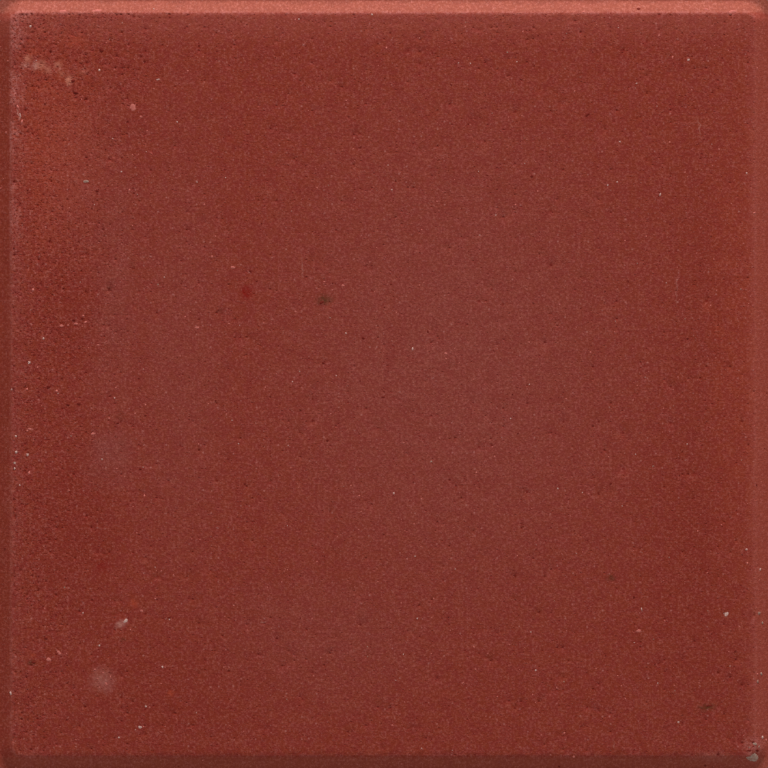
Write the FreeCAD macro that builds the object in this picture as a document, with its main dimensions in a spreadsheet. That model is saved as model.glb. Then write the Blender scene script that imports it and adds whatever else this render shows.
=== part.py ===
import FreeCAD, Part

import math
import os

import Sketcher

# Concrete paving tile, pressed in one piece. All sizes are in millimetres.
#
# The tile is a square block whose wearing face stands proud of a narrow ledge that runs
# round the block. The face is joined to the ledge by a chamfer with rounded corners, and
# the arris between the chamfer and the face is slightly rounded.
#
# Origin: the middle of the underside. +Z points up, out of the wearing face, and X and Y
# run square to the sides.

NODE = "paving_tile"
PARTS_FOLDER = "parts"

# alias, value, what it is
DRIVING_DIMENSIONS = [
    ("side_length", 298.0, "side of the block: a 300 grid less a 2 joint"),
    ("thickness", 45.0, "underside to wearing face"),
    ("block_corner_radius", 1.5, "upright corners of the block"),
    ("ledge_width", 1.0, "flat ledge between the side and the foot of the chamfer"),
    ("chamfer_width", 4.8, "chamfer, seen from above"),
    ("chamfer_depth", 4.0, "chamfer, seen from the side"),
    ("face_corner_radius", 8.5, "corners of the chamfer, at its foot"),
    ("arris_radius", 1.2, "rounding between the chamfer and the wearing face"),
]


def fill_sheet(doc):
    """Writes the driving dimensions to the spreadsheet, one named cell for each."""
    sheet = doc.addObject("Spreadsheet::Sheet", "Sizes")
    for row, (alias, value, meaning) in enumerate(DRIVING_DIMENSIONS, start=1):
        sheet.set(f"A{row}", alias)
        sheet.set(f"B{row}", str(value))
        sheet.set(f"C{row}", meaning)
        sheet.setAlias(f"B{row}", alias)
    doc.recompute()
    return sheet


def origin_plane(body, role):
    """The body's own origin plane of that role, such as XY_Plane."""
    return next(f for f in body.Origin.OriginFeatures if f.Role == role)


def rounded_square(body, name, half_side, radius, side_expression, radius_expression):
    """A fully constrained square sketch with round corners, centred on the XY plane.

    half_side and radius only place the first geometry. The two expressions drive it.
    """
    sketch = body.newObject("Sketcher::SketchObject", name)
    sketch.AttachmentSupport = (origin_plane(body, "XY_Plane"), [""])
    sketch.MapMode = "FlatFace"

    inner = half_side - radius
    up = FreeCAD.Vector(0, 0, 1)
    quarter_turn = FreeCAD.Rotation(up, 90)
    start = FreeCAD.Vector(-inner, -half_side, 0)
    end = FreeCAD.Vector(inner, -half_side, 0)
    centre = FreeCAD.Vector(inner, -inner, 0)
    for quarter in range(4):
        sketch.addGeometry(Part.LineSegment(start, end), False)
        circle = Part.Circle(centre, up, radius)
        first_angle = (quarter - 1) * math.pi / 2
        last_angle = quarter * math.pi / 2
        sketch.addGeometry(Part.ArcOfCircle(circle, first_angle, last_angle), False)
        start, end, centre = (quarter_turn.multVec(p) for p in (start, end, centre))

    sides = [0, 2, 4, 6]
    corners = [1, 3, 5, 7]
    start_point, end_point = 1, 2
    x_axis, y_axis = -1, -2
    for side, corner, next_side in zip(sides, corners, sides[1:] + sides[:1]):
        sketch.addConstraint(Sketcher.Constraint("Tangent", side, end_point, corner, start_point))
        sketch.addConstraint(Sketcher.Constraint("Tangent", corner, end_point, next_side, start_point))
    sketch.addConstraint(Sketcher.Constraint("Horizontal", 4))
    sketch.addConstraint(Sketcher.Constraint("Vertical", 6))
    for corner in corners[1:]:
        sketch.addConstraint(Sketcher.Constraint("Equal", corners[0], corner))
    sketch.addConstraint(Sketcher.Constraint("Symmetric", 0, start_point, 0, end_point, y_axis))
    sketch.addConstraint(Sketcher.Constraint("Symmetric", 2, start_point, 2, end_point, x_axis))

    drives = [
        (Sketcher.Constraint("DistanceX", 6, start_point, 2, start_point, 2 * half_side),
         "SideX", side_expression),
        (Sketcher.Constraint("DistanceY", 0, start_point, 4, start_point, 2 * half_side),
         "SideY", side_expression),
        (Sketcher.Constraint("Radius", corners[0], radius), "CornerRadius", radius_expression),
    ]
    for constraint, constraint_name, expression in drives:
        index = sketch.addConstraint(constraint)
        sketch.renameConstraint(index, constraint_name)
        sketch.setExpression(f"Constraints.{constraint_name}", expression)
    return sketch


def edges_at_height(shape, height):
    """Names of the edges that lie level at that height, as features take them."""
    level = 1e-6
    return [
        f"Edge{number}"
        for number, edge in enumerate(shape.Edges, start=1)
        if abs(edge.BoundBox.ZMin - height) < level and abs(edge.BoundBox.ZMax - height) < level
    ]


def make_tile(doc, sheet):
    """The whole tile: the block, the face that stands on it, and the rounded arris."""
    half_side = sheet.side_length / 2
    body = doc.addObject("PartDesign::Body", "PavingTile")
    body.Label = NODE

    block_outline = rounded_square(
        body, "BlockOutline", half_side, sheet.block_corner_radius,
        "Sizes.side_length", "Sizes.block_corner_radius",
    )
    block = body.newObject("PartDesign::Pad", "Block")
    block.Profile = block_outline
    block.setExpression("Length", "Sizes.thickness - Sizes.chamfer_depth")

    face_outline = rounded_square(
        body, "FaceOutline", half_side - sheet.ledge_width, sheet.face_corner_radius,
        "Sizes.side_length - 2 * Sizes.ledge_width", "Sizes.face_corner_radius",
    )
    face_outline.setExpression("AttachmentOffset.Base.z", "Sizes.thickness - Sizes.chamfer_depth")
    face = body.newObject("PartDesign::Pad", "ChamferedFace")
    face.Profile = face_outline
    face.setExpression("Length", "Sizes.chamfer_depth")
    face.setExpression("TaperAngle", "-atan(Sizes.chamfer_width / Sizes.chamfer_depth)")
    doc.recompute()

    arris = body.newObject("PartDesign::Fillet", "RoundedArris")
    arris.Base = (face, edges_at_height(face.Shape, sheet.thickness))
    arris.setExpression("Radius", "Sizes.arris_radius")
    doc.recompute()
    body.Tip = arris
    return body


def check_document(doc):
    """Stops the build if any object of the document failed to recompute."""
    for thing in doc.Objects:
        bad = {"Invalid", "Error"} & set(thing.State)
        if bad:
            raise RuntimeError(f"{thing.Name} is {', '.join(sorted(bad))}")


def check_tile(body, sheet):
    """Stops the build if the tile isn't one valid solid of the stated outer size."""
    shape = body.Shape
    if shape.isNull() or not shape.isValid() or len(shape.Solids) != 1:
        raise RuntimeError(f"{body.Label} isn't one valid solid")
    outer = shape.BoundBox
    wanted = (sheet.side_length, sheet.side_length, sheet.thickness)
    found = (outer.XLength, outer.YLength, outer.ZLength)
    if any(abs(a - b) > 1e-3 for a, b in zip(wanted, found)):
        raise RuntimeError(f"{body.Label} measures {found}, and should measure {wanted}")


def main():
    """Builds the document, checks it and writes the tile's STEP file."""
    doc = FreeCAD.newDocument("ConcretePavingTile")
    sheet = fill_sheet(doc)
    body = make_tile(doc, sheet)
    doc.recompute()
    check_document(doc)
    check_tile(body, sheet)

    os.makedirs(PARTS_FOLDER, exist_ok=True)
    body.Shape.exportStep(f"{PARTS_FOLDER}/{body.Label}.step")
    print(f"{body.Label}: {body.Shape.Volume / 1e6:.4f} litres, {len(body.Shape.Faces)} faces")


main()
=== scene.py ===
"""The looks of a pressed red concrete paving tile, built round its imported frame."""

import logging
import math
from dataclasses import dataclass, field
from enum import Enum

import bpy
import numpy as np
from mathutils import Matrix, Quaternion, Vector
from mathutils.bvhtree import BVHTree


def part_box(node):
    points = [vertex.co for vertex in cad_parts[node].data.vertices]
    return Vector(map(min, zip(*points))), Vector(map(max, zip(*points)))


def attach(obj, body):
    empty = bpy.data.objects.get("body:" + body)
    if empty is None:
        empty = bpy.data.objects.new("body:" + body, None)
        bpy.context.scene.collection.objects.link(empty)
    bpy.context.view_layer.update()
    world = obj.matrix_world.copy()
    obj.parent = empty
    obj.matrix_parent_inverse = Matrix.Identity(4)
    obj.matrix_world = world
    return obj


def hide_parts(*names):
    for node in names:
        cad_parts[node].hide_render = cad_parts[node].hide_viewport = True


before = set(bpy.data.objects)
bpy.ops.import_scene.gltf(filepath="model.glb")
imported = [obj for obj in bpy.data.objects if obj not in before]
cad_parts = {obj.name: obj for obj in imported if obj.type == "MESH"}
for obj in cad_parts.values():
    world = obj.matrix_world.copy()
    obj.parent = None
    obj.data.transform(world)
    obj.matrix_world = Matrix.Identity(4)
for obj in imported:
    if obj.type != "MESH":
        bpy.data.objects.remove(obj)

log = logging.getLogger("paving_tile")

MM = 0.001
NODE = "paving_tile"
TINY = 1e-5
DRY_GLOSS = 0.06
UP = Vector((0.0, 0.0, 1.0))

Value = float | int | tuple | bpy.types.NodeSocket


# ---------------------------------------------------------------------------------------
# Node trees
# ---------------------------------------------------------------------------------------


class Graph:
    """Adds nodes to one node tree and joins their sockets."""

    def __init__(self, tree: bpy.types.NodeTree, flat: bool = False) -> None:
        """Starts on a tree.

        Args:
            tree: The shader or geometry tree that the nodes go into.
            flat: Whether patterns are read in the plane of the face only, not in depth.
        """
        self.tree = tree
        self.dimensions = "2D" if flat else "3D"

    def flattened(self) -> "Graph":
        """A graph on the same tree, whose patterns lie in the plane of the face."""
        return Graph(self.tree, flat=True)

    def node(self, kind: str, inputs: dict | None = None, **settings: object) -> bpy.types.Node:
        """Adds one node.

        Args:
            kind: The node's type name.
            inputs: Values or sockets for its inputs, by name or number.
            **settings: The node's own properties.

        Returns:
            The new node.
        """
        made = len(self.tree.nodes)
        node = self.tree.nodes.new(kind)
        node.location = (200 * (made // 8), -180 * (made % 8))
        for name, setting in settings.items():
            setattr(node, name, setting)
        for key, value in (inputs or {}).items():
            self.feed(node.inputs[key], value)
        return node

    def feed(self, socket: bpy.types.NodeSocket, value: Value) -> None:
        """Links a socket into an input, or sets the input's own value.

        Args:
            socket: The input.
            value: The socket or the value.
        """
        if isinstance(value, bpy.types.NodeSocket):
            self.tree.links.new(value, socket)
        else:
            socket.default_value = value

    def math(self, operation: str, *terms: Value, clamp: bool = False) -> bpy.types.NodeSocket:
        """Does one sum on numbers, such as ADD or SMOOTH_MAX."""
        inputs = dict(enumerate(terms))
        return self.node("ShaderNodeMath", inputs, operation=operation, use_clamp=clamp).outputs[0]

    def chained(self, operation: str, first: Value, *others: Value) -> bpy.types.NodeSocket:
        """Does one sum on several numbers in turn.

        Args:
            operation: The sum, such as ADD.
            first: The first number.
            *others: The numbers after it.

        Returns:
            The result.
        """
        for other in others:
            first = self.math(operation, first, other)
        return first

    def total(self, *terms: Value) -> bpy.types.NodeSocket:
        """Adds up several numbers."""
        return self.chained("ADD", *terms)

    def product(self, *terms: Value) -> bpy.types.NodeSocket:
        """Multiplies several numbers."""
        return self.chained("MULTIPLY", *terms)

    def largest(self, *terms: Value) -> bpy.types.NodeSocket:
        """The largest of several numbers."""
        return self.chained("MAXIMUM", *terms)

    def vector(self, operation: str, *terms: Value) -> bpy.types.NodeSocket:
        """Does one sum on vectors.

        Args:
            operation: The sum. LENGTH, DISTANCE and DOT_PRODUCT give a number.
            *terms: The vectors.

        Returns:
            The resulting vector or number.
        """
        node = self.node("ShaderNodeVectorMath", dict(enumerate(terms)), operation=operation)
        gives_number = operation in ("LENGTH", "DISTANCE", "DOT_PRODUCT")
        return node.outputs["Value" if gives_number else "Vector"]

    def scaled(self, vector: Value, factor: Value) -> bpy.types.NodeSocket:
        """A vector times a number."""
        inputs = {0: vector, "Scale": factor}
        return self.node("ShaderNodeVectorMath", inputs, operation="SCALE").outputs["Vector"]

    def parts(self, vector: Value) -> tuple[bpy.types.NodeSocket, ...]:
        """The X, Y and Z of a vector, or the three channels of a colour."""
        return tuple(self.node("ShaderNodeSeparateXYZ", {0: vector}).outputs)

    def joined(self, x: Value = 0.0, y: Value = 0.0, z: Value = 0.0) -> bpy.types.NodeSocket:
        """A vector made of three numbers."""
        return self.node("ShaderNodeCombineXYZ", {0: x, 1: y, 2: z}).outputs[0]

    def noise(
        self, place: Value, size: float, detail: float = 2.0, roughness: float = 0.5
    ) -> bpy.types.NodeSocket:
        """Soft noise from 0 to 1.

        Args:
            place: Where it is read.
            size: About how far apart its humps lie, in metres.
            detail: How many finer layers it has.
            roughness: How strong each finer layer is.

        Returns:
            The noise's value.
        """
        inputs = {"Vector": place, "Scale": 1.0 / size, "Detail": detail, "Roughness": roughness}
        return self.node("ShaderNodeTexNoise", inputs, noise_dimensions=self.dimensions).outputs[0]

    def wobbled(self, place: Value, size: float, swing: Value) -> bpy.types.NodeSocket:
        """A place shifted by noise, which makes round outlines ragged.

        Args:
            place: The place to shift.
            size: How far apart the noise's humps lie, in metres.
            swing: How far apart its two ends of travel lie, in metres.

        Returns:
            The shifted place.
        """
        inputs = {"Vector": place, "Scale": 1.0 / size, "Detail": 0.0}
        noise = self.node("ShaderNodeTexNoise", inputs, noise_dimensions=self.dimensions)
        centred = self.vector("SUBTRACT", noise.outputs["Color"], (0.5, 0.5, 0.5))
        return self.vector("ADD", place, self.scaled(centred, swing))

    def cells(self, place: Value, size: float) -> bpy.types.Node:
        """Scattered points, about size apart, and the nearest one's distance and random colour."""
        inputs = {"Vector": place, "Scale": 1.0 / size}
        return self.node("ShaderNodeTexVoronoi", inputs, voronoi_dimensions=self.dimensions)

    def ramp(
        self, value: Value, start: Value, end: Value, low: Value = 0.0, high: Value = 1.0
    ) -> bpy.types.NodeSocket:
        """A smooth step.

        Args:
            value: What the step follows.
            start: The value at which it starts.
            end: The value at which it ends.
            low: The result before it.
            high: The result after it.

        Returns:
            The stepped number.
        """
        inputs = {"Value": value, "From Min": start, "From Max": end, "To Min": low, "To Max": high}
        node = self.node("ShaderNodeMapRange", inputs, interpolation_type="SMOOTHSTEP")
        return node.outputs["Result"]

    def mixed(self, share: Value, first: Value, second: Value) -> bpy.types.NodeSocket:
        """A number between two others."""
        return self.node("ShaderNodeMix", {0: share, 2: first, 3: second}, data_type="FLOAT").outputs[0]

    def tinted(self, share: Value, first: Value, second: Value) -> bpy.types.NodeSocket:
        """A colour mixed with another.

        Args:
            share: How much of the second shows, from 0 to 1.
            first: The colour below.
            second: The colour above.

        Returns:
            The mixed colour.
        """
        inputs = {0: share, 6: first, 7: second}
        return self.node("ShaderNodeMix", inputs, data_type="RGBA").outputs[2]


def new_tree(name: str, kind: str, inputs: list[tuple], outputs: list[tuple]) -> tuple[Graph, dict]:
    """Makes a node tree with named sockets.

    Args:
        name: The tree's name.
        kind: GeometryNodeTree or ShaderNodeTree.
        inputs: Name, socket type and default value (or None) of each input.
        outputs: Name and socket type of each output.

    Returns:
        The graph that fills the tree, and its input sockets by name.
    """
    tree = bpy.data.node_groups.new(name, kind)
    for title, socket_type, default in inputs:
        socket = tree.interface.new_socket(title, in_out="INPUT", socket_type=socket_type)
        if default is not None:
            socket.default_value = default
    for title, socket_type in outputs:
        tree.interface.new_socket(title, in_out="OUTPUT", socket_type=socket_type)
    graph = Graph(tree)
    entry = graph.node("NodeGroupInput")
    return graph, {socket.name: socket for socket in entry.outputs if socket.name}


def evaluated_mesh(piece: bpy.types.Object, name: str) -> bpy.types.Mesh:
    """Makes a plain mesh of what an object's modifiers show.

    Args:
        piece: The object.
        name: The new mesh's name.

    Returns:
        The mesh.
    """
    shown = piece.evaluated_get(bpy.context.evaluated_depsgraph_get())
    mesh = bpy.data.meshes.new_from_object(shown)
    mesh.name = name
    return mesh


def grown(tree: bpy.types.NodeTree, name: str, base: bpy.types.Mesh, values: dict) -> bpy.types.Object:
    """Runs a geometry tree once and keeps what it makes as a plain piece.

    Args:
        tree: The geometry tree.
        name: The new piece's name.
        base: The mesh that goes in.
        values: The tree's inputs, by socket name.

    Returns:
        The piece, with no modifier left on it.
    """
    piece = bpy.data.objects.new(name, base)
    bpy.context.scene.collection.objects.link(piece)
    modifier = piece.modifiers.new(tree.name, "NODES")
    modifier.node_group = tree
    identifiers = {
        item.name: item.identifier for item in tree.interface.items_tree if item.in_out == "INPUT"
    }
    for title, value in values.items():
        modifier[identifiers[title]] = value
    mesh = evaluated_mesh(piece, name)
    piece.modifiers.clear()
    piece.data = mesh
    return piece


# ---------------------------------------------------------------------------------------
# The tile's shape, shared by its mesh and its finish
# ---------------------------------------------------------------------------------------


@dataclass(frozen=True)
class TileSizes:
    """The tile's outer sizes from the frame, and its edge profile, in metres."""

    side: float
    thickness: float
    ledge_width: float = 1.0 * MM
    chamfer_width: float = 4.8 * MM
    chamfer_depth: float = 4.0 * MM
    face_corner_radius: float = 8.5 * MM
    block_corner_radius: float = 1.5 * MM
    arris_radius: float = 1.2 * MM

    @classmethod
    def from_frame(cls) -> "TileSizes":
        """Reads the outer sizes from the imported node's box."""
        low, high = (Vector(corner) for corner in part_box(NODE))
        return cls(side=high.x - low.x, thickness=high.z - low.z)

    @property
    def half(self) -> float:
        """Half the tile's side."""
        return self.side / 2

    @property
    def foot(self) -> float:
        """How far the chamfer's foot lies from the middle, along X or Y."""
        return self.half - self.ledge_width

    @property
    def arris(self) -> float:
        """How far the arris lies from the middle, along X or Y."""
        return self.foot - self.chamfer_width

    @property
    def ledge_height(self) -> float:
        """Height of the ledge that the chamfer stands on."""
        return self.thickness - self.chamfer_depth

    @property
    def arris_softness(self) -> float:
        """How wide the chamfer and the face blend, so that the arris is rounded as it should be.

        Returns:
            The width of the blend, in metres.
        """
        half_turn = math.atan2(self.chamfer_depth, self.chamfer_width) / 2
        cut_back = self.arris_radius * (1 / math.cos(half_turn) - 1)
        cubic_blend_share = 6.0
        return cubic_blend_share * cut_back


def inset(graph: Graph, place: Value, half_side: float, radius: float) -> bpy.types.NodeSocket:
    """How far inside a rounded square a place lies, seen from above.

    Args:
        graph: Where the nodes go.
        place: The place.
        half_side: Half the square's side.
        radius: The radius of its corners.

    Returns:
        The distance to the outline, positive inside it.
    """
    straight = half_side - radius
    over = graph.vector("SUBTRACT", graph.vector("ABSOLUTE", place), (straight, straight, 1.0))
    over_x, over_y, _ = graph.parts(over)
    beyond = graph.vector("LENGTH", graph.vector("MAXIMUM", over, (0.0, 0.0, 0.0)))
    within = graph.math("MINIMUM", graph.largest(over_x, over_y), 0.0)
    return graph.math("SUBTRACT", graph.math("SUBTRACT", radius, beyond), within)


@dataclass(frozen=True)
class ZoneSizes:
    """How far the coarse and the crumbly zones reach, in metres, and how strong they are."""

    band_end: float = -114 * MM
    band_slant: float = 0.12
    band_wander: float = 25 * MM
    band_fade: float = 22 * MM
    top_from: float = 24 * MM
    top_to: float = 6 * MM
    top_share: float = 0.28
    crumbs_from: float = 18 * MM
    crumbs_to: float = 11 * MM
    crumbs_inward: float = 7.5 * MM
    low_share: float = 0.25
    corner: tuple = (142.5 * MM, -139.5 * MM, 0.0)
    corner_reach: float = 5.5 * MM
    corner_share: float = 0.75


@dataclass(frozen=True)
class Zones:
    """Where the surface differs, seen from above, as sockets of one tree."""

    past_arris: bpy.types.NodeSocket
    face: bpy.types.NodeSocket
    coarse: bpy.types.NodeSocket
    crumbly: bpy.types.NodeSocket

    @classmethod
    def read(cls, graph: Graph, place: Value, sizes: TileSizes) -> "Zones":
        """Works the zones out.

        Args:
            graph: Where the nodes go.
            place: The place.
            sizes: The tile's sizes.

        Returns:
            The distance in from the arris; the face, as 0 to 1; how open and gritty it is, most
            in a band down the left side that is wider at the top; and the crumbly left arris and
            lower right corner.
        """
        x, y, _ = graph.parts(place)
        inside = inset(graph, place, sizes.foot, sizes.face_corner_radius)
        past_arris = graph.math("SUBTRACT", inside, sizes.chamfer_width)
        face = graph.ramp(past_arris, -0.6 * MM, 0.5 * MM)

        zone = ZoneSizes()
        patches = graph.noise(place, 22 * MM, 2.0, 0.6)
        edge = graph.math("MULTIPLY_ADD", y, zone.band_slant, zone.band_end)
        edge = graph.math("SUBTRACT", edge, zone.band_wander)
        ragged = graph.math("MULTIPLY_ADD", patches, 2 * zone.band_wander, edge)
        past_edge = graph.math("SUBTRACT", x, ragged)
        band = graph.ramp(past_edge, -zone.band_fade, zone.band_fade, 1.0, 0.0)
        upper = graph.ramp(y, sizes.half - zone.top_from, sizes.half - zone.top_to, 0.0, zone.top_share)
        coarse = graph.product(graph.largest(band, upper), face)

        outer = graph.ramp(past_arris, -1.5 * MM, -0.4 * MM)
        inner = graph.ramp(past_arris, zone.crumbs_inward, 0.8 * MM)
        left = graph.ramp(x, zone.crumbs_from - sizes.half, zone.crumbs_to - sizes.half)
        patchy = graph.ramp(graph.noise(place, 9 * MM, 2.0, 0.7), 0.36, 0.60, 0.15, 1.0)
        lower = graph.ramp(y, 25 * MM, 80 * MM, zone.low_share, 1.0)
        band = graph.product(outer, inner, left, patchy, lower)
        flat = graph.vector("MULTIPLY", place, (1.0, 1.0, 0.0))
        from_corner = graph.vector("DISTANCE", flat, zone.corner)
        corner = graph.ramp(from_corner, zone.corner_reach, 2 * MM, 0.0, zone.corner_share)
        return cls(past_arris, face, coarse, graph.largest(band, corner))


def crevices(graph: Graph, place: Value, zones: Zones) -> bpy.types.NodeSocket:
    """Ragged open gaps between the sand grains, where the face is coarse or its arris crumbles.

    Args:
        graph: Where the nodes go.
        place: The place.
        zones: The surface's zones.

    Returns:
        From 0, closed, to 1, at the bottom of a gap.
    """
    gaps = graph.noise(graph.vector("MULTIPLY", place, (0.8, 1.0, 1.0)), 1.05 * MM, 2.0, 0.75)
    open_share = graph.largest(zones.coarse, graph.product(zones.crumbly, 1.25))
    start = graph.mixed(open_share, 0.31, 0.405)
    return graph.product(graph.ramp(gaps, start, graph.math("SUBTRACT", start, 0.13)), open_share)


@dataclass(frozen=True)
class Spots:
    """Round spots of one size scattered over a surface, in metres: pits, pores or specks of sand."""

    spacing: float
    smallest: float
    largest: float
    share: float
    coarse_share: float
    depth: float = 0.0

    def bowls(self, graph: Graph, place: Value, share: Value, rim: float = 0.25) -> bpy.types.NodeSocket:
        """How deep each place lies in a spot.

        Args:
            graph: Where the nodes go.
            place: The place.
            share: The share of the scattered points that are spots.
            rim: How far out the flat middle of a spot goes, as a share of its radius.

        Returns:
            From 0 outside a spot to 1 at the middle of the largest.
        """
        ragged = graph.wobbled(place, 1.3 * self.spacing, 0.70 * self.smallest)
        cells = graph.cells(ragged, self.spacing)
        chance, size, _ = graph.parts(cells.outputs["Color"])
        size = graph.math("POWER", size, 2.0)
        radius = graph.mixed(size, self.smallest / self.spacing, self.largest / self.spacing)
        reach = graph.math("DIVIDE", cells.outputs["Distance"], radius)
        bowl = graph.ramp(reach, 1.0, rim)
        chosen = graph.math("LESS_THAN", chance, share)
        return graph.product(bowl, chosen, graph.math("MULTIPLY_ADD", size, 0.5, 0.5))

    def on_face(self, graph: Graph, place: Value, zones: Zones) -> bpy.types.NodeSocket:
        """The bowls on the wearing face, more of them where it is coarse."""
        share = graph.mixed(zones.coarse, self.share, self.coarse_share)
        return graph.product(self.bowls(graph, place, share), zones.face)


FACE_PITS = [
    Spots(4.6 * MM, 0.40 * MM, 0.85 * MM, 0.06, 0.20, 0.40 * MM),
    Spots(2.3 * MM, 0.30 * MM, 0.62 * MM, 0.10, 0.55, 0.30 * MM),
]
FINE_PORES = Spots(1.25 * MM, 0.24 * MM, 0.46 * MM, 0.16, 0.50, 0.13 * MM)
SPECKS = Spots(2.9 * MM, 0.22 * MM, 0.55 * MM, 0.20, 0.30)
SIDE_PITS = [
    Spots(8.0 * MM, 0.9 * MM, 2.2 * MM, 0.22, 0.22, 1.1 * MM),
    Spots(3.4 * MM, 0.5 * MM, 1.1 * MM, 0.30, 0.30, 0.7 * MM),
]
BED_PITS = [
    Spots(9.0 * MM, 1.2 * MM, 3.0 * MM, 0.30, 0.30, 1.5 * MM),
    Spots(4.0 * MM, 0.6 * MM, 1.5 * MM, 0.40, 0.40, 0.9 * MM),
]


# ---------------------------------------------------------------------------------------
# Shader groups
# ---------------------------------------------------------------------------------------


def oval_group() -> bpy.types.NodeTree:
    """A soft turned oval, seen from above.

    Returns:
        The group.
    """
    graph, given = new_tree(
        "Soft oval",
        "ShaderNodeTree",
        [
            ("Place", "NodeSocketVector", None),
            ("Centre", "NodeSocketVector", None),
            ("Half Size", "NodeSocketVector", None),
            ("Turn", "NodeSocketFloat", 0.0),
            ("Strength", "NodeSocketFloat", 1.0),
        ],
        [("Mask", "NodeSocketFloat")],
    )
    turned = graph.node(
        "ShaderNodeVectorRotate",
        {"Vector": given["Place"], "Center": given["Centre"], "Angle": given["Turn"]},
        rotation_type="Z_AXIS",
    )
    away = graph.vector("SUBTRACT", turned.outputs[0], given["Centre"])
    flat = graph.vector("MULTIPLY", graph.vector("DIVIDE", away, given["Half Size"]), (1.0, 1.0, 0.0))
    soft = graph.ramp(graph.vector("LENGTH", flat), 1.0, 0.0)
    graph.node("NodeGroupOutput", {0: graph.product(soft, given["Strength"])})
    return graph.tree


def grit_group(flat: bool) -> bpy.types.NodeTree:
    """Sand in cement paste: its uneven tone, its paler grains, and how high it stands.

    Args:
        flat: Whether it is read in the plane of the face only.

    Returns:
        The group.
    """
    graph, given = new_tree(
        "Pressed sand grit" if flat else "Open sand grit",
        "ShaderNodeTree",
        [("Place", "NodeSocketVector", None)],
        [("Tone", "NodeSocketFloat"), ("Pale Grain", "NodeSocketFloat"), ("Relief", "NodeSocketFloat")],
    )
    graph = graph.flattened() if flat else graph
    place = given["Place"]
    cloud = graph.noise(place, 7.0 * MM, 2.0, 0.8)
    grit = graph.noise(place, 1.10 * MM, 1.2, 1.0)
    grains = graph.cells(place, 0.72 * MM)
    chance, lift, _ = graph.parts(grains.outputs["Color"])
    dome = graph.ramp(grains.outputs["Distance"], 0.62, 0.15)
    pale = graph.product(dome, graph.ramp(chance, 0.72, 1.0))
    centred = graph.math("SUBTRACT", grit, 0.5)
    clouded = graph.math("MULTIPLY_ADD", cloud, 0.6, -0.30)
    tone = graph.math("MULTIPLY_ADD", centred, 2.3, clouded)
    domes = graph.product(dome, lift, 0.035 * MM)
    relief = graph.math("MULTIPLY_ADD", grit, 0.075 * MM, domes)
    graph.node("NodeGroupOutput", {"Tone": tone, "Pale Grain": pale, "Relief": relief})
    return graph.tree


@dataclass
class ShaderGroups:
    """The shader groups that the finishes share, each built once."""

    oval: bpy.types.NodeTree = field(default_factory=oval_group)
    pressed_grit: bpy.types.NodeTree = field(default_factory=lambda: grit_group(flat=True))
    open_grit: bpy.types.NodeTree = field(default_factory=lambda: grit_group(flat=False))


# ---------------------------------------------------------------------------------------
# Finishes
# ---------------------------------------------------------------------------------------


class Stain(Enum):
    """What discolours the face, from broad veils to small smears, as a linear colour."""

    VEIL = (0.222, 0.056, 0.046, 1.0)
    DEEP = (0.178, 0.019, 0.011, 1.0)
    OCHRE = (0.52, 0.190, 0.125, 1.0)
    ORANGE = (0.345, 0.052, 0.024, 1.0)
    LIME = (0.47, 0.220, 0.180, 1.0)
    BRICK = (0.185, 0.004, 0.002, 1.0)
    # A dark brown for small dark marks.
    DARK_MARK = (0.082, 0.027, 0.010, 1.0)


@dataclass(frozen=True)
class Patch:
    """A soft oval on the face, in millimetres from the middle."""

    x: float
    y: float
    wide: float
    high: float
    strength: float = 1.0
    turn: float = 0.0

    def mask(self, graph: Graph, oval: bpy.types.NodeTree, place: Value) -> bpy.types.NodeSocket:
        """How strongly it shows at a place.

        Args:
            graph: Where the nodes go.
            oval: The soft oval group.
            place: The place on the tile.

        Returns:
            From 0 outside to its strength at the middle.
        """
        inputs = {
            "Place": place,
            "Centre": (self.x * MM, self.y * MM, 0.0),
            "Half Size": (self.wide * MM / 2, self.high * MM / 2, 1.0),
            "Turn": -math.radians(self.turn),
            "Strength": self.strength,
        }
        return graph.node("ShaderNodeGroup", inputs, node_tree=oval).outputs[0]


def marks(kind: type, rows: dict[Enum, list[tuple]]) -> dict[Enum, list]:
    """Makes the marks of each kind of stain or stone.

    Args:
        kind: Patch or Bead.
        rows: The fields of each mark, in their order.

    Returns:
        The marks of each stain or stone.
    """
    return {group: [kind(*fields) for fields in listed] for group, listed in rows.items()}


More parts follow.
